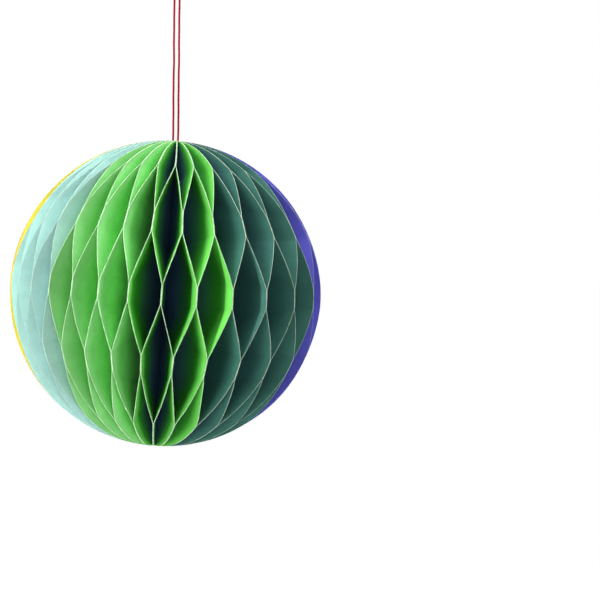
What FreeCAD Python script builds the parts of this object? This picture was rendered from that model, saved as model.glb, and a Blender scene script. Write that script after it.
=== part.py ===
import FreeCAD, Part

import math
import os

# A honeycomb paper ball on a cord loop, in millimetres.
#
# Sixty half-disc leaves stand round a core like the pages of an open book. Level glue lines join each
# leaf by turns to the neighbour on its left and the neighbour on its right, so the ring opens into
# diamond cells. Six leaves in a row share one colour. A red cord leaves the core as a loop.
#
# +Z is up, along the hanging cord, and the front is -Y. The origin is the ball's centre, and the ball's
# axis leans towards +X. Azimuths are degrees about the ball's axis, from the front towards +X.

Vector = FreeCAD.Vector

# Ball
ball_radius = 100.0
ball_half_height = 98.6
lean = 4.6

# Leaves, by colour in the order of growing azimuth. The first colour starts a little before the front.
colours = (
    "grass", "teal", "indigo", "plum", "magenta",
    "pink", "vermilion", "yellow", "aqua", "light_green",
)
pairs_per_colour = 3
first_pair = -1
paper_thickness = 0.4

# Glue lines, as heights along the ball's axis. Beyond the last line the leaves stay together up to the
# pole. At the crown the cord gathers them a little lower, and at the foot they open a little lower.
middle_line_height = 6.0
glue_pitch = 43.6
glue_half_width = 6.1
smallest_cap = 8.0
crown_gather = 3.9
foot_opening = 2.0

# The ring opens unevenly: one swing round the ball, and a smaller one at twice the rate
first_seam = 12.6
swing = 15.3
swing_start = 64.1
double_swing = 3.6
double_swing_start = 84.9

# Cord loop, with its two ends tied in a knot inside the core
cord_diameter = 1.3
knot_depth = 22.0
knot_height = 5.0
knot_clearance = 0.3
knot_bevel = 0.2
knot_lead = 4.0

# Half of the loop above the crown, as (distance from the loop's middle, height above the crown).
# Below its neck the two strands run side by side, straight from where they lead out of the knot.
loop_neck_height = 97.0
loop_half = ((5.4, 105.4), (2.6, 109.8))
loop_drift = 0.1

# Each bend of the cord takes this share of the shorter of its two runs
bend_share = 0.45

# A leaf is cut from a folded blank that reaches past its rim by this factor, and past its poles by a margin
blank_reach = 1.25
blank_margin = 2.0

leaf_count = 2 * pairs_per_colour * len(colours)
hanging = FreeCAD.Rotation(Vector(0, 1, 0), lean)


def seam_azimuth(seam):
    """Azimuth of the seam plane between leaf seam - 1 and leaf seam."""
    even = 360.0 * seam / leaf_count
    slow = swing * math.sin(math.radians(even - swing_start))
    fast = double_swing * math.sin(math.radians(2.0 * (even - double_swing_start)))
    return first_seam + even + slow + fast


def half_wedge(leaf):
    """Half of the angle, in radians, between a leaf's two seam planes."""
    return math.radians(seam_azimuth(leaf + 1) - seam_azimuth(leaf)) / 2.0


def inner_distance(wedge):
    """Distance from the axis to a leaf's inner edge, where the paper fills its whole wedge."""
    return paper_thickness / 2.0 / math.sin(wedge)


def rim_distance(height):
    """Distance from the axis to a leaf's rim at a height."""
    return ball_radius * math.sqrt(1.0 - (height / ball_half_height) ** 2)


def glue_bands(middle_side):
    """A leaf's glue bands from the lowest up, as [bottom, top, side], where side is +1 or -1."""
    room = ball_half_height + glue_half_width - smallest_cap
    lines_above = int((room - middle_line_height) / glue_pitch)
    lines_below = int((room + middle_line_height) / glue_pitch)
    bands = []
    for line in range(-lines_below, lines_above + 1):
        height = middle_line_height + line * glue_pitch
        side = -middle_side if line % 2 else middle_side
        bands.append([height - glue_half_width, height + glue_half_width, side])
    bands[0][1] -= foot_opening
    bands[-1][0] -= crown_gather
    return bands


def folded_blank(wedge, middle_side):
    """The leaf's folded sheet before its rim is cut: X out from the axis, Y round it, Z along it.

    In a glue band the sheet lies on one of its two seam planes. Between two bands it crosses over in
    one flat triangle, whose two folds meet at the inner edge.
    """
    inner_edge = inner_distance(wedge)
    through = Vector(0, paper_thickness / math.cos(wedge), 0)

    def on_sheet(distance, height, side):
        offset = side * (distance - inner_edge) * math.tan(wedge)
        return Vector(distance, offset, height) - through / 2.0

    def fold_end(fold_start, height, side):
        at_rim = on_sheet(rim_distance(height), height, side)
        return fold_start + (at_rim - fold_start) * blank_reach

    bands = glue_bands(middle_side)
    end_height = ball_half_height + blank_margin
    crossings = [(lower[1] + upper[0]) / 2.0 for lower, upper in zip(bands, bands[1:])]
    inner = [on_sheet(inner_edge, height, 1) for height in [-end_height] + crossings + [end_height]]

    outer = [on_sheet(ball_radius * blank_reach, -end_height, bands[0][2])]
    for fold_start, lower, upper in zip(inner[1:], bands, bands[1:]):
        outer.append(fold_end(fold_start, lower[1], lower[2]))
        outer.append(fold_end(fold_start, upper[0], upper[2]))
    outer.append(on_sheet(ball_radius * blank_reach, end_height, bands[-1][2]))

    facets = []
    for number in range(len(bands)):
        facets.append([inner[number], outer[2 * number], outer[2 * number + 1], inner[number + 1]])
    for number in range(1, len(bands)):
        facets.append([inner[number], outer[2 * number - 1], outer[2 * number]])
    outline = outer + inner[::-1]
    for start, end in zip(outline, outline[1:] + outline[:1]):
        facets.append([start, end, end + through, start + through])
    for facet in facets[:2 * len(bands) - 1]:
        facets.append([corner + through for corner in facet])
    faces = [Part.Face(Part.makePolygon(facet + facet[:1])) for facet in facets]
    return Part.Solid(Part.Shell(faces))


def rim_cutter(wedge):
    """A disc of the ball's outline, deep enough for the whole width of a folded leaf."""
    depth = ball_radius * math.tan(wedge) + paper_thickness
    across = Vector(-ball_radius, 0, 0)
    along = Vector(0, 0, ball_half_height)
    short_end, long_end = sorted((across, along), key=lambda end: end.Length)
    outline = Part.Wire(Part.Ellipse(long_end, short_end, Vector(0, 0, 0)).toShape())
    disc = Part.Face(outline).extrude(Vector(0, 2.0 * depth, 0))
    disc.translate(Vector(0, -depth, 0))
    return disc


def paper_leaf(leaf):
    """One leaf in its place. Even leaves lie on their first seam at the middle line, odd ones on their second."""
    wedge = half_wedge(leaf)
    middle_side = 1 if leaf % 2 else -1
    sheet = folded_blank(wedge, middle_side).common(rim_cutter(wedge)).Solids[0]
    azimuth = (seam_azimuth(leaf) + seam_azimuth(leaf + 1)) / 2.0
    about_axis = FreeCAD.Rotation(Vector(0, 0, 1), azimuth - 90.0)
    sheet.Placement = FreeCAD.Placement(Vector(0, 0, 0), hanging * about_axis)
    return sheet


def leaf_pairs():
    """The leaves by node: each pair meets along the glue lines next to the middle one."""
    nodes = {}
    for number in range(leaf_count // 2):
        colour = colours[number // pairs_per_colour]
        leaf = 2 * (first_pair + number)
        name = f"{colour}_leaves_{number % pairs_per_colour + 1}"
        nodes[name] = Part.makeCompound([paper_leaf(leaf), paper_leaf(leaf + 1)])
    return nodes


def knot_radius():
    """The knot fills the core at its narrowest, less a small clearance."""
    narrowest = min(inner_distance(half_wedge(leaf)) for leaf in range(leaf_count))
    return narrowest - knot_clearance


def cord_knot():
    """The two cord ends tied together in the core, a plain barrel with bevelled ends."""
    base = Vector(0, 0, ball_half_height - knot_depth - knot_height)
    barrel = Part.makeCylinder(knot_radius(), knot_height, base)
    end_edges = [edge for edge in barrel.Edges if isinstance(edge.Curve, Part.Circle)]
    knot = barrel.makeChamfer(knot_bevel, end_edges)
    knot.Placement = FreeCAD.Placement(Vector(0, 0, 0), hanging)
    return knot


def cord_route():
    """Points of the cord, from one end on the knot, round the loop and back to the other end."""
    strand = knot_radius() - knot_bevel - cord_diameter / 2.0
    crown = hanging.multVec(Vector(0, 0, ball_half_height))
    route = []
    for side in (-1, 1):
        half = []
        for lead in (0.0, knot_lead):
            half.append(hanging.multVec(Vector(side * strand, 0, ball_half_height - knot_depth + lead)))
        for distance, height in ((strand, loop_neck_height),) + loop_half:
            half.append(crown + Vector(loop_drift + side * distance, 0, height))
        route += half if side < 0 else half[::-1]
    return route


def rounded_path(points):
    """Straight runs with a tangent arc at each corner."""
    edges = []
    start = points[0]
    for before, corner, after in zip(points, points[1:], points[2:]):
        run_in = corner - before
        run_out = after - corner
        half_turn = run_in.getAngle(run_out) / 2.0
        reach = bend_share * min(run_in.Length, run_out.Length)
        radius = reach / math.tan(half_turn)
        print(f"cord bend: {math.degrees(2.0 * half_turn):.1f} degrees, radius {radius:.1f} mm")
        arc_start = corner - run_in * (reach / run_in.Length)
        arc_end = corner + run_out * (reach / run_out.Length)
        inward = (arc_start + arc_end) / 2.0 - corner
        arc_middle = corner + inward * ((radius / math.cos(half_turn) - radius) / inward.Length)
        edges.append(Part.LineSegment(start, arc_start).toShape())
        edges.append(Part.Arc(arc_start, arc_middle, arc_end).toShape())
        start = arc_end
    edges.append(Part.LineSegment(start, points[-1]).toShape())
    return Part.Wire(edges)


def hanging_cord():
    """The cord as a plain round tube along its route."""
    route = cord_route()
    path = rounded_path(route)
    section = Part.Circle(route[0], route[1] - route[0], cord_diameter / 2.0)
    tube = path.makePipeShell([Part.Wire(section.toShape())], True, False)
    expected = math.pi * cord_diameter ** 2 / 4.0 * path.Length
    print(f"cord: {path.Length:.1f} mm long, volume {tube.Volume:.2f}, section x length {expected:.2f}")
    return tube


os.makedirs("parts", exist_ok=True)
nodes = leaf_pairs()
nodes["cord_knot"] = cord_knot()
nodes["hanging_cord"] = hanging_cord()
for name, shape in nodes.items():
    shape.exportStep(f"parts/{name}.step")
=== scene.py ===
import math
import random

import bmesh
import bpy
from mathutils import Matrix, Vector, noise


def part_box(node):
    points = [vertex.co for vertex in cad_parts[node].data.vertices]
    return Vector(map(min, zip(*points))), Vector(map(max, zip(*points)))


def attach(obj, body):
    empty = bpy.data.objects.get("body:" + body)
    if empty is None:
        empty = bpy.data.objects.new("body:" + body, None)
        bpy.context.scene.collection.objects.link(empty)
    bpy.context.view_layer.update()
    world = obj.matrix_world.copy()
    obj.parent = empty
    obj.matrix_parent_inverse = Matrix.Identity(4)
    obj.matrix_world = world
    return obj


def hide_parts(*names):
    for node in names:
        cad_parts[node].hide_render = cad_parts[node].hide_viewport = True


# The looks of a honeycomb paper ball on a red cord loop, in metres, in the CAD model's frame: +Z up, the
# front at -Y, the origin at the ball's centre. Azimuths run about the ball's axis, from the front to +X.

# Ball
ball_radius = 0.100
ball_half_height = 0.0986
lean = math.radians(4.6)

# Leaves, by colour in the order of growing azimuth
colours = (
    "grass", "teal", "indigo", "plum", "magenta",
    "pink", "vermilion", "yellow", "aqua", "light_green",
)
pairs_per_colour = 3
first_pair = -1
paper_thickness = 0.0004
leaf_count = 2 * pairs_per_colour * len(colours)

# Glue lines, as heights along the ball's axis
middle_line_height = 0.0060
glue_pitch = 0.0436
glue_half_width = 0.0061
smallest_cap = 0.008
crown_gather = 0.0039
foot_opening = 0.0020

# Uneven opening of the ring, in degrees
first_seam = 12.6
swing = 15.3
swing_start = 64.1
double_swing = 3.6
double_swing_start = 84.9

# How the paper crosses between two glue lines, as a cubic's four values from the line nearer the pole to
# the line nearer the equator. Beside the middle line it crosses nearly evenly. Beside a cap it leaves the
# cap with a crisp fold and lands gently on the other line. The looseness is the most that chance moves
# each of the two inner values, and the ease slows the crossing at both of its ends.
middle_crossing = (1.0, 0.15, -0.28, -1.0)
end_crossing = (1.0, -0.3, -0.45, -1.0)
crossing_looseness = 0.07
crossing_ease = 0.12

# Near the crown the leaves' rims drift a little towards +X. The drift starts at one height, is most at a
# second and ends at the pole.
crown_drift = 0.0013
crown_drift_from = 0.0557
crown_drift_most = 0.0832

# Small unevenness of the paper: waves between its glue lines, and nicks in its cut rim. The shifts give
# each leaf waves and nicks of its own.
wave_height = 0.0005
wave_length = 0.030
wave_shift = 3.7
nick_depth = 0.00015
nick_length = 0.004
nick_shift = 7.3

# Rows of a leaf in each glue line, crossing and cap, and columns from the core to the rim. The columns
# stand closer towards the rim, by this power.
rows_in_line = 4
rows_in_crossing = 18
rows_in_cap = 14
columns = 12
rim_crowding = 1.2

# A leaf's points nearer to each other than this are one, and a fold sharper than this shades as an edge
weld_distance = 1e-6
sharp_fold = math.radians(40.0)

# Cord, as in the CAD model
cord_diameter = 0.0013
knot_depth = 0.022
knot_height = 0.005
knot_bevel = 0.0002
knot_lead = 0.004
loop_neck_height = 0.097
loop_half = ((0.0054, 0.1054), (0.0026, 0.1098))
loop_drift = 0.0001

# The cord's line has one more point on each strand, this far below the neck of the loop, and this many
# steps for each stretch between two points
neck_run = 0.0092
steps_between_points = 24

# Twine: its plies make one turn in each pitch, in this many steps. A ply's radius is a share of the cord's
# diameter, made larger by the fluff, and the whole cord wobbles a little about its line.
twist_pitch = 0.0042
steps_in_twist = 12
plies = 3
ply_sides = 8
ply_share = 0.27
fluff = 1.2
wobble = 0.0002
wobble_length = 0.011
wobble_seed = 3

# Knot: its wraps stay level for this share of a turn, half of it at each end, and have this many steps
knot_level_turn = 0.7
knot_steps = 160

# Camera, which aims at a point to the right of the ball's centre and below it. The lens and the sensor
# are in millimetres.
camera_distance = 1.4
camera_elevation = math.radians(4.0)
camera_lens = 129.7
sensor_width = 36.0
clip_near = 0.05
clip_far = 100.0
aim_right = 0.0869
aim_down = 0.0047

# Stage. The floor glows for the camera: less inside the near radius, where the ball's shadow can show, and
# fully beyond the far radius.
floor_drop = 2.0
floor_size = 60.0
floor_grey = 0.8
near_glow = 0.72
near_radius = 1.5
far_radius = 4.5

# Lamps stand this far from the ball's centre
lamp_distance = 2.2

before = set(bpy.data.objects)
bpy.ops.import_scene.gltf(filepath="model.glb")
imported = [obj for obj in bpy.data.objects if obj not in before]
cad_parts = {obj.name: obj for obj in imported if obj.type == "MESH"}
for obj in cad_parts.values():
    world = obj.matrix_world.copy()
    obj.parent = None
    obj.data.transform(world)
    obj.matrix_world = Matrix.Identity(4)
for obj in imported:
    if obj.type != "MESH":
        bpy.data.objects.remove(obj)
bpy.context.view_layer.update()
scene = bpy.context.scene
hanging = Matrix.Rotation(lean, 3, "Y")


def linear(red, green, blue):
    """A colour given in sRGB from 0 to 255, as linear values with an alpha of 1."""
    values = []
    for value in (red, green, blue):
        share = value / 255.0
        values.append(share / 12.92 if share < 0.04045 else ((share + 0.055) / 1.055) ** 2.4)
    return (*values, 1.0)


def new_object(name, data):
    made = bpy.data.objects.new(name, data)
    scene.collection.objects.link(made)
    return made


# ---------------------------------------------------------------------------------------------- camera

def make_camera():
    """The camera looks at the ball's right side, so that the ball stands left of the middle."""
    data = bpy.data.cameras.new("camera")
    data.lens = camera_lens
    data.sensor_width = sensor_width
    data.clip_start = clip_near
    data.clip_end = clip_far
    camera = new_object("camera", data)
    away = Vector((0.0, -math.cos(camera_elevation), math.sin(camera_elevation)))
    camera.location = away * camera_distance
    target = Vector((aim_right, 0.0, -aim_down))
    camera.rotation_mode = "QUATERNION"
    camera.rotation_quaternion = (target - camera.location).to_track_quat("-Z", "Y")
    scene.camera = camera


# ------------------------------------------------------------------------------------------- materials

# The values of a noise at which its patches have their low and their high grey
low_patch = 0.3
high_patch = 0.7


class Nodes:
    """A short way to build the nodes of a material or a world."""

    def __init__(self, owner, output="ShaderNodeOutputMaterial"):
        owner.use_nodes = True
        self.owner = owner
        self.tree = owner.node_tree
        self.tree.nodes.clear()
        self.output = self.tree.nodes.new(output)

    def add(self, kind, **settings):
        node = self.tree.nodes.new(kind)
        for name, value in settings.items():
            setattr(node, name, value)
        return node

    def link(self, start, end):
        self.tree.links.new(start, end)

    def noise(self, scale, detail=3.0, roughness=0.5, stretch=None):
        """A noise texture in object space. The scale is in features a metre."""
        place = self.add("ShaderNodeTexCoord").outputs["Object"]
        if stretch is not None:
            mapping = self.add("ShaderNodeMapping")
            mapping.inputs["Scale"].default_value = stretch
            self.link(place, mapping.inputs["Vector"])
            place = mapping.outputs["Vector"]
        texture = self.add("ShaderNodeTexNoise")
        texture.inputs["Scale"].default_value = scale
        texture.inputs["Detail"].default_value = detail
        texture.inputs["Roughness"].default_value = roughness
        self.link(place, texture.inputs["Vector"])
        return texture.outputs["Fac"]

    def ramp(self, factor, stops):
        """A colour ramp with the given (position, colour) stops."""
        node = self.add("ShaderNodeValToRGB")
        elements = node.color_ramp.elements
        while len(elements) < len(stops):
            elements.new(0.5)
        for element, (position, colour) in zip(elements, stops):
            element.position = position
            element.color = colour
        self.link(factor, node.inputs["Fac"])
        return node.outputs["Color"]

    def patches(self, low, high, **noise_settings):
        """A noise as soft patches between two greys."""
        return self.ramp(self.noise(**noise_settings), [(low_patch, grey(low)), (high_patch, grey(high))])

    def multiply(self, first, second):
        """Two colours multiplied. The mix node has its colours in these sockets."""
        node = self.add("ShaderNodeMix", data_type="RGBA", blend_type="MULTIPLY")
        node.inputs[0].default_value = 1.0
        self.link(first, node.inputs[6])
        self.link(second, node.inputs[7])
        return node.outputs[2]

    def bump(self, height, strength, distance):
        node = self.add("ShaderNodeBump")
        node.inputs["Strength"].default_value = strength
        node.inputs["Distance"].default_value = distance
        self.link(height, node.inputs["Height"])
        return node.outputs["Normal"]

    def principled(self, colour, roughness, normal, specular=0.25):
        shader = self.add("ShaderNodeBsdfPrincipled")
        shader.inputs["Specular IOR Level"].default_value = specular
        self.link(colour, shader.inputs["Base Color"])
        self.link(roughness, shader.inputs["Roughness"])
        self.link(normal, shader.inputs["Normal"])
        self.link(shader.outputs["BSDF"], self.output.inputs["Surface"])
        return self.owner


def material_nodes(name):
    """The nodes of a new material."""
    return Nodes(bpy.data.materials.new(name))


def grey(value):
    return (value, value, value, 1.0)


def scaled(colour, factor):
    return tuple(min(1.0, value * factor) for value in colour[:3]) + (1.0,)


def blended(first, second, share):
    return tuple(a + (b - a) * share for a, b in zip(first, second))


# Colours of each paper at its rim, over its body and towards its core. They stand in for light and shade:
# most papers are painted lighter at the rim, a painted highlight, and deeper or bluer towards the core, a
# painted shade.
paper_colours = {
    "grass": (linear(104, 202, 82), linear(54, 152, 42), linear(85, 134, 166)),
    "teal": (linear(54, 106, 94), linear(41, 87, 85), linear(46, 94, 114)),
    "indigo": (linear(79, 78, 178), linear(73, 74, 182), linear(70, 72, 178)),
    "plum": (linear(124, 56, 74), linear(108, 44, 62), linear(98, 42, 66)),
    "magenta": (linear(206, 70, 146), linear(188, 52, 128), linear(168, 48, 122)),
    "pink": (linear(240, 154, 144), linear(234, 138, 130), linear(222, 128, 128)),
    "vermilion": (linear(240, 102, 62), linear(232, 84, 46), linear(212, 72, 44)),
    "yellow": (linear(222, 202, 62), linear(218, 196, 46), linear(204, 174, 36)),
    "aqua": (linear(174, 217, 209), linear(192, 246, 240), linear(188, 246, 240)),
    "light_green": (linear(145, 218, 135), linear(133, 223, 120), linear(118, 228, 114)),
}
cream = linear(186, 198, 178)
dye_in_edge = 0.22
cord_colour = linear(150, 6, 26)

# Where those colours begin and end, as shares of the way from the core to the rim
core_until = 0.3
body_from = 0.74
body_until = 0.81
rim_from = 0.95


def paper(name, rim, body, painted_core_shade):
    """Dyed card: soft mottling, a fine grain, and a matt surface with faint fibres. Its colour is painted
    lighter at the rim and deeper towards the core, as painted highlight and painted shade.
    """
    nodes = material_nodes(name + "_paper")
    reach = nodes.add("ShaderNodeAttribute", attribute_name="reach").outputs["Fac"]
    # Painted highlight at the rim and painted shade towards the core, following each point's reach
    painted_rim_light_and_core_shade = nodes.ramp(reach, [(core_until, painted_core_shade), (body_from, body), (body_until, body), (rim_from, rim)])
    mottling = nodes.patches(0.90, 1.0, scale=140.0, detail=4.0, roughness=0.6)
    grain = nodes.patches(0.90, 1.0, scale=1300.0, detail=2.0, roughness=0.6)
    speckled = nodes.multiply(nodes.multiply(painted_rim_light_and_core_shade, mottling), grain)
    roughness = nodes.patches(0.72, 0.88, scale=600.0, detail=3.0)
    fibres = nodes.noise(scale=1800.0, detail=4.0, roughness=0.65, stretch=(1.0, 1.0, 0.35))
    return nodes.principled(speckled, roughness, nodes.bump(fibres, strength=0.25, distance=0.00012))


def cut_edge(name, rim):
    """The pale core of the card where it was cut, with a little of the dye in it."""
    nodes = material_nodes(name + "_edge")
    core = blended(cream, rim, dye_in_edge)
    wear = nodes.noise(scale=260.0, detail=4.0, roughness=0.65)
    worn = nodes.ramp(wear, [(0.35, scaled(core, 0.6)), (0.62, core)])
    specks = nodes.ramp(nodes.noise(scale=1100.0, detail=2.0), [(0.30, grey(0.35)), (0.36, grey(1.0))])
    roughness = nodes.patches(0.8, 0.95, scale=900.0, detail=2.0)
    fibres = nodes.noise(scale=3000.0, detail=3.0)
    bumps = nodes.bump(fibres, strength=0.3, distance=0.0001)
    return nodes.principled(nodes.multiply(worn, specks), roughness, bumps)


def twine(name, colour):
    """Soft twine, with fibres drawn out upwards, the way that most of the cord runs."""
    nodes = material_nodes(name)
    upwards = (1.0, 1.0, 0.3)
    streaks = nodes.noise(scale=2600.0, detail=3.0, roughness=0.6, stretch=upwards)
    streaked = nodes.ramp(streaks, [(low_patch, scaled(colour, 0.62)), (high_patch, scaled(colour, 1.15))])
    roughness = nodes.patches(0.7, 0.9, scale=1500.0, detail=2.0)
    fibres = nodes.noise(scale=5200.0, detail=4.0, roughness=0.7, stretch=upwards)
    bumps = nodes.bump(fibres, strength=0.5, distance=0.00012)
    return nodes.principled(streaked, roughness, bumps, specular=0.1)


# ------------------------------------------------------------------------------------------------ cord

def knot_radius():
    """Half of the width of the CAD model's knot."""
    low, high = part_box("cord_knot")
    return (high.y - low.y) / 2.0


def cord_route():
    """The cord's points, from one end on the knot, round the loop and back to the other end.

    The point below the neck keeps the long strands straight up to it.
    """
    strand = knot_radius() - knot_bevel - cord_diameter / 2.0
    crown = hanging @ Vector((0.0, 0.0, ball_half_height))
    below_neck = loop_neck_height - neck_run
    route = []
    for side in (-1, 1):
        half = []
        for lead in (0.0, knot_lead):
            half.append(hanging @ Vector((side * strand, 0.0, ball_half_height - knot_depth + lead)))
        for distance, height in ((strand, below_neck), (strand, loop_neck_height)) + loop_half:
            half.append(crown + Vector((loop_drift + side * distance, 0.0, height)))
        route += half if side < 0 else half[::-1]
    return route


def spline_points(name, route):
    """The points of a smooth line that has the route as its control points."""
    curve = bpy.data.curves.new(name, "CURVE")
    curve.dimensions = "3D"
    curve.resolution_u = steps_between_points
    spline = curve.splines.new("NURBS")
    spline.points.add(len(route) - 1)
    for point, place in zip(spline.points, route):
        point.co = (*place, 1.0)
    spline.order_u = 3
    spline.use_endpoint_u = True
    guide = new_object(name, curve)
    mesh = bpy.data.meshes.new_from_object(guide)
    points = [vertex.co.copy() for vertex in mesh.vertices]
    bpy.data.objects.remove(guide)
    bpy.data.meshes.remove(mesh)
    bpy.data.curves.remove(curve)
    return points


def evenly_spaced(points, step):
    """Points along a polyline at even steps, its two ends included."""
    lengths = [(end - start).length for start, end in zip(points, points[1:])]
    total = sum(lengths)
    count = max(2, round(total / step))
    spaced = []
    passed = 0.0
    run = 0
    for number in range(count + 1):
        wanted = total * number / count
        while run < len(lengths) - 1 and passed + lengths[run] < wanted:
            passed += lengths[run]
            run += 1
        share = min(1.0, (wanted - passed) / lengths[run])
        spaced.append(points[run].lerp(points[run + 1], share))
    return spaced


def add_twisted_plies(bm, centres):
    """Plies twisted about a line of close points. The line's side direction is carried along it."""
    ply_radius = cord_diameter * ply_share * fluff
    ply_offset = cord_diameter * (0.5 - ply_share)
    tangents = []
    for number in range(len(centres)):
        before = centres[max(0, number - 1)]
        after = centres[min(len(centres) - 1, number + 1)]
        tangents.append((after - before).normalized())
    across = tangents[0].orthogonal().normalized()
    turned = 0.0
    rings = [[] for _ in range(plies)]
    noise.seed_set(wobble_seed)
    for number, (centre, tangent) in enumerate(zip(centres, tangents)):
        across = (across - tangent * across.dot(tangent)).normalized()
        other = tangent.cross(across)
        if number:
            turned += 2.0 * math.pi * (centre - centres[number - 1]).length / twist_pitch
        for ply in range(plies):
            angle = turned + 2.0 * math.pi * ply / plies
            out = across * math.cos(angle) + other * math.sin(angle)
            round_it = tangent.cross(out)
            middle = centre + noise.noise_vector(centre / wobble_length) * wobble + out * ply_offset
            ring = []
            for side in range(ply_sides):
                turn = 2.0 * math.pi * side / ply_sides
                place = middle + (out * math.cos(turn) + round_it * math.sin(turn)) * ply_radius
                ring.append(bm.verts.new(place))
            rings[ply].append(ring)
    for ply_rings in rings:
        for ring, after in zip(ply_rings, ply_rings[1:]):
            for side in range(ply_sides):
                onward = (side + 1) % ply_sides
                bm.faces.new((ring[side], ring[onward], after[onward], after[side]))
        bm.faces.new(ply_rings[0][::-1])
        bm.faces.new(ply_rings[-1])


def twine_mesh(name, centres, material):
    """Twine along a line of close points, as a new object."""
    bm = bmesh.new()
    add_twisted_plies(bm, centres)
    mesh = bpy.data.meshes.new(name)
    bm.to_mesh(mesh)
    bm.free()
    mesh.shade_smooth()
    mesh.materials.append(material)
    return new_object(name, mesh)


def make_cord(material):
    """The cord loop, whose two ends go into the knot."""
    route = cord_route()
    line = evenly_spaced(spline_points("cord_line", route), twist_pitch / steps_in_twist)
    cord = twine_mesh("red_cord_loop", line, material)
    knot = make_knot(material)
    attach(cord, "root")
    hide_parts("hanging_cord")


def make_knot(material):
    """The two cord ends are wrapped together, turn beside turn, into a small barrel."""
    radius = knot_radius() - cord_diameter / 2.0
    top = ball_half_height - knot_depth - cord_diameter / 2.0
    drop = knot_height - cord_diameter
    turns = drop / cord_diameter + knot_level_turn
    wraps = []
    for step in range(knot_steps + 1):
        share = step / knot_steps
        angle = 2.0 * math.pi * turns * share
        fall = min(drop, max(0.0, (turns * share - knot_level_turn / 2.0) * cord_diameter))
        wraps.append(hanging @ Vector((radius * math.cos(angle), radius * math.sin(angle), top - fall)))
    knot = twine_mesh("cord_knot_wraps", wraps, material)
    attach(knot, "root")
    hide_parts("cord_knot")
    return knot


# ---------------------------------------------------------------------------------------------- leaves

def seam_azimuth(seam):
    """Azimuth, in radians, of the seam plane between leaf seam - 1 and leaf seam."""
    even = 360.0 * seam / leaf_count
    slow = swing * math.sin(math.radians(even - swing_start))
    fast = double_swing * math.sin(math.radians(2.0 * (even - double_swing_start)))
    return math.radians(first_seam + even + slow + fast)


def rim_distance(height):
    """Distance from the axis to a leaf's rim at a height."""
    return ball_radius * math.sqrt(max(0.0, 1.0 - (height / ball_half_height) ** 2))


def glue_bands(middle_side):
    """A leaf's glue bands from the lowest up, as [bottom, top, side], where side is +1 or -1."""
    room = ball_half_height + glue_half_width - smallest_cap
    lines_above = int((room - middle_line_height) / glue_pitch)
    lines_below = int((room + middle_line_height) / glue_pitch)
    bands = []
    for line in range(-lines_below, lines_above + 1):
        height = middle_line_height + line * glue_pitch
        side = -middle_side if line % 2 else middle_side
        bands.append([height - glue_half_width, height + glue_half_width, side])
    bands[0][1] -= foot_opening
    bands[-1][0] -= crown_gather
    return bands


def rim_drift(height):
    """How far the rims stand towards +X at a height."""
    rise = (height - crown_drift_from) / (crown_drift_most - crown_drift_from)
    fall = (height - crown_drift_most) / (ball_half_height - crown_drift_most)
    rise, fall = (min(1.0, max(0.0, share)) for share in (rise, fall))
    smooth_rise = (3.0 - 2.0 * rise) * rise ** 2
    return crown_drift * smooth_rise * (1.0 - fall ** 2)


def crossing_rows(lower, upper, shape, chance):
    """Rows between two glue bands. They fan out from one point of the inner edge."""
    bottom, top = lower[1], upper[0]
    middle = (bottom + top) / 2.0
    first, second, third, last = shape
    second += chance.uniform(-crossing_looseness, crossing_looseness)
    third += chance.uniform(-crossing_looseness, crossing_looseness)
    rows = []
    for number in range(1, rows_in_crossing):
        share = number / rows_in_crossing
        eased = share - crossing_ease * math.sin(2.0 * math.pi * share) / (2.0 * math.pi)
        from_pole = 1.0 - eased if middle > 0.0 else eased
        back = 1.0 - from_pole
        curve = (
            first * back ** 3 + 3.0 * second * back ** 2 * from_pole
            + 3.0 * third * back * from_pole ** 2 + last * from_pole ** 3
        )
        side = upper[2] if middle > 0.0 else lower[2]
        rows.append((middle, bottom + (top - bottom) * share, side * curve))
    return rows


def leaf_rows(bands, inner_edge, chance):
    """A leaf's rows from its bottom to its top, as (height at the inner edge, height at the rim, side).

    In the two caps the rim's heights go by equal angles, so that it stays round up to the pole.
    """
    pole_angle = math.acos(inner_edge / ball_radius)
    crossings = [(lower[1] + upper[0]) / 2.0 for lower, upper in zip(bands, bands[1:])]
    pole = ball_half_height * math.sin(pole_angle)
    inner = [-pole] + crossings + [pole]
    rows = []
    for number, (bottom, top, side) in enumerate(bands):
        low_cap = number == 0
        high_cap = number == len(bands) - 1
        steps = rows_in_cap if low_cap or high_cap else rows_in_line
        for step in range(steps + 1):
            share = step / steps
            height = bottom + (top - bottom) * share
            if low_cap or high_cap:
                start = -pole_angle if low_cap else math.asin(bottom / ball_half_height)
                end = math.asin(top / ball_half_height) if low_cap else pole_angle
                height = ball_half_height * math.sin(start + (end - start) * share)
            rows.append((inner[number] + (inner[number + 1] - inner[number]) * share, height, side))
        if not high_cap:
            ends = (0, len(bands) - 2)
            shape = end_crossing if number in ends else middle_crossing
            rows += crossing_rows(bands[number], bands[number + 1], shape, chance)
    return rows


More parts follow.
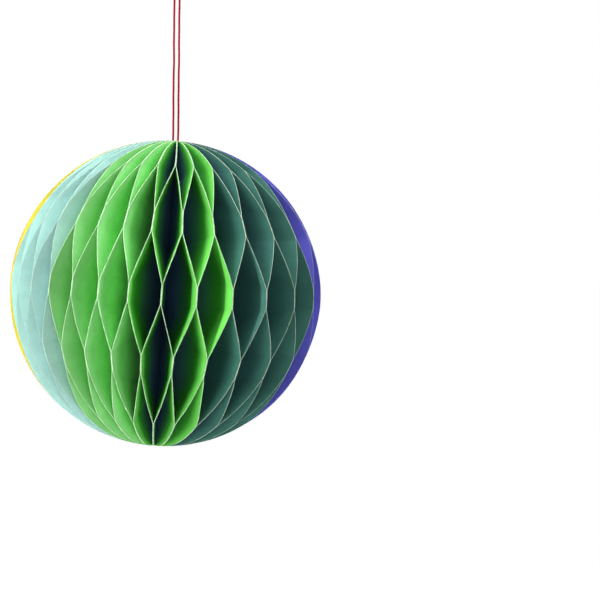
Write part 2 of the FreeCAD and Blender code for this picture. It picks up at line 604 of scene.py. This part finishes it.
def add_leaf(bm, reach, leaf):
    """One folded sheet, with its two faces as material 0 and its cut edge as material 1.

    The reach layer holds how far each point is from the core, as a share of the way to the rim.
    """
    chance = random.Random(leaf)
    wedge = (seam_azimuth(leaf + 1) - seam_azimuth(leaf)) / 2.0
    azimuth = (seam_azimuth(leaf + 1) + seam_azimuth(leaf)) / 2.0
    inner_edge = paper_thickness / 2.0 / math.sin(wedge)
    half_through = paper_thickness / 2.0 / math.cos(wedge)
    place = hanging @ Matrix.Rotation(azimuth - math.pi / 2.0, 3, "Z")
    rows = leaf_rows(glue_bands(1 if leaf % 2 else -1), inner_edge, chance)
    faces = ([], [])
    for inner_height, rim_height, side in rows:
        rim_spot = Vector((rim_height / nick_length, leaf * nick_shift, 0.0))
        nick = nick_depth * (0.5 + 0.5 * noise.noise(rim_spot))
        rim = max(inner_edge, rim_distance(rim_height) - nick)
        lines = ([], [])
        for column in range(columns + 1):
            share = 1.0 - (1.0 - column / columns) ** rim_crowding
            distance = inner_edge + (rim - inner_edge) * share
            height = inner_height + (rim_height - inner_height) * share
            spot = Vector((distance / wave_length, leaf * wave_shift, height / wave_length))
            wave = wave_height * noise.noise(spot) * (1.0 - side * side) * distance / ball_radius
            drift = rim_drift(height) * math.cos(azimuth) * share
            offset = side * (distance - inner_edge) * math.tan(wedge) + wave + drift
            for line, through in zip(lines, (-half_through, half_through)):
                vertex = bm.verts.new(place @ Vector((distance, offset + through, height)))
                vertex[reach] = share
                line.append(vertex)
        faces[0].append(lines[0])
        faces[1].append(lines[1])
    low, high = faces
    made = []
    for row in range(len(rows) - 1):
        for column in range(columns):
            corners = ((row, column), (row, column + 1), (row + 1, column + 1), (row + 1, column))
            made.append((0, [low[r][c] for r, c in corners]))
            made.append((0, [high[r][c] for r, c in corners[::-1]]))
        made.append((1, [low[row][-1], high[row][-1], high[row + 1][-1], low[row + 1][-1]]))
        made.append((1, [high[row][0], low[row][0], low[row + 1][0], high[row + 1][0]]))
    for material, corners in made:
        bm.faces.new(corners).material_index = material


def make_leaf_pair(colour, number, pair, materials):
    """The two leaves of a CAD node as one piece."""
    name = f"{colour}_sheets_{number}"
    bm = bmesh.new()
    reach = bm.verts.layers.float.new("reach")
    for leaf in (2 * pair, 2 * pair + 1):
        add_leaf(bm, reach, leaf)
    bmesh.ops.remove_doubles(bm, verts=bm.verts, dist=weld_distance)
    bm.normal_update()
    mesh = bpy.data.meshes.new(name)
    bm.to_mesh(mesh)
    bm.free()
    mesh.shade_smooth()
    mesh.set_sharp_from_angle(angle=sharp_fold)
    for material in materials:
        mesh.materials.append(material)
    piece = new_object(name, mesh)
    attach(piece, "root")
    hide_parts(f"{colour}_leaves_{number}")


def make_leaves():
    """All pairs of leaves, colour by colour."""
    for order, colour in enumerate(colours):
        rim, body, painted_core_shade = paper_colours[colour]
        materials = (paper(colour, rim, body, painted_core_shade), cut_edge(colour, rim))
        for number in range(pairs_per_colour):
            pair = first_pair + pairs_per_colour * order + number
            make_leaf_pair(colour, number + 1, pair, materials)


# ------------------------------------------------------------------------------------ stage and lights

def make_world():
    """White where the camera, gloss or glass sees it, and black to all other rays."""
    world = bpy.data.worlds.new("world")
    nodes = Nodes(world, output="ShaderNodeOutputWorld")
    path = nodes.add("ShaderNodeLightPath")
    seen = nodes.add("ShaderNodeMath", operation="MAXIMUM")
    nodes.link(path.outputs["Is Camera Ray"], seen.inputs[0])
    nodes.link(path.outputs["Is Glossy Ray"], seen.inputs[1])
    also = nodes.add("ShaderNodeMath", operation="MAXIMUM")
    nodes.link(seen.outputs[0], also.inputs[0])
    nodes.link(path.outputs["Is Transmission Ray"], also.inputs[1])
    white = nodes.add("ShaderNodeBackground")
    white.inputs["Color"].default_value = grey(1.0)
    nodes.link(also.outputs[0], white.inputs["Strength"])
    nodes.link(white.outputs[0], nodes.output.inputs["Surface"])
    scene.world = world


def make_floor():
    """A pale floor well below the hanging ball. Camera rays see it as white, less the ball's shadow."""
    nodes = material_nodes("floor")
    diffuse = nodes.add("ShaderNodeBsdfDiffuse")
    diffuse.inputs["Color"].default_value = grey(floor_grey)
    spot = nodes.add("ShaderNodeTexCoord").outputs["Object"]
    from_middle = nodes.add("ShaderNodeVectorMath", operation="LENGTH")
    nodes.link(spot, from_middle.inputs[0])
    spread = nodes.add("ShaderNodeMapRange", interpolation_type="SMOOTHSTEP")
    spread.inputs["From Min"].default_value = near_radius
    spread.inputs["From Max"].default_value = far_radius
    spread.inputs["To Min"].default_value = near_glow
    spread.inputs["To Max"].default_value = 1.0
    nodes.link(from_middle.outputs["Value"], spread.inputs["Value"])
    path = nodes.add("ShaderNodeLightPath")
    level = nodes.add("ShaderNodeMath", operation="MULTIPLY")
    nodes.link(path.outputs["Is Camera Ray"], level.inputs[0])
    nodes.link(spread.outputs["Result"], level.inputs[1])
    glow = nodes.add("ShaderNodeEmission")
    glow.inputs["Color"].default_value = grey(1.0)
    nodes.link(level.outputs[0], glow.inputs["Strength"])
    total = nodes.add("ShaderNodeAddShader")
    nodes.link(diffuse.outputs[0], total.inputs[0])
    nodes.link(glow.outputs[0], total.inputs[1])
    nodes.link(total.outputs[0], nodes.output.inputs["Surface"])
    bm = bmesh.new()
    bmesh.ops.create_grid(bm, x_segments=2, y_segments=2, size=floor_size / 2.0)
    mesh = bpy.data.meshes.new("floor")
    bm.to_mesh(mesh)
    bm.free()
    mesh.materials.append(nodes.owner)
    floor = new_object("floor", mesh)
    floor.location = (0.0, 0.0, -floor_drop)


def soft_light(name, azimuth, elevation, wide, tall, level):
    """An area lamp that faces the ball, with its place and size in degrees as seen from there.

    Its level is how bright it makes a white card that faces it.
    """
    data = bpy.data.lights.new(name, "AREA")
    data.shape = "RECTANGLE"
    data.size = 2.0 * lamp_distance * math.tan(math.radians(wide / 2.0))
    data.size_y = 2.0 * lamp_distance * math.tan(math.radians(tall / 2.0))
    data.energy = level * (math.pi * lamp_distance) ** 2
    lamp = new_object(name, data)
    turn, rise = math.radians(azimuth), math.radians(elevation)
    away = Vector((math.sin(turn) * math.cos(rise), -math.cos(turn) * math.cos(rise), math.sin(rise)))
    lamp.location = away * lamp_distance
    lamp.rotation_mode = "QUATERNION"
    lamp.rotation_quaternion = (-away).to_track_quat("-Z", "Y")
    lamp.visible_camera = False


make_camera()
make_cord(twine("red_twine", cord_colour))
make_leaves()
make_world()
make_floor()
soft_light("key_low", azimuth=-45.0, elevation=-24.0, wide=5.0, tall=48.0, level=0.66)
soft_light("key_high", azimuth=-45.0, elevation=24.0, wide=5.0, tall=48.0, level=0.84)
soft_light("front", azimuth=5.0, elevation=0.0, wide=25.0, tall=40.0, level=0.42)
soft_light("right", azimuth=68.0, elevation=40.0, wide=7.0, tall=34.0, level=0.55)
soft_light("low_right", azimuth=60.0, elevation=-45.0, wide=25.0, tall=40.0, level=0.44)
soft_light("high_left", azimuth=-45.0, elevation=65.0, wide=30.0, tall=30.0, level=0.75)
soft_light("high_right", azimuth=90.0, elevation=70.0, wide=30.0, tall=30.0, level=0.62)
soft_light("back_left", azimuth=-145.0, elevation=10.0, wide=30.0, tall=40.0, level=0.8)
soft_light("back_right", azimuth=145.0, elevation=10.0, wide=30.0, tall=40.0, level=0.8)

scene.view_settings.view_transform = "Standard"
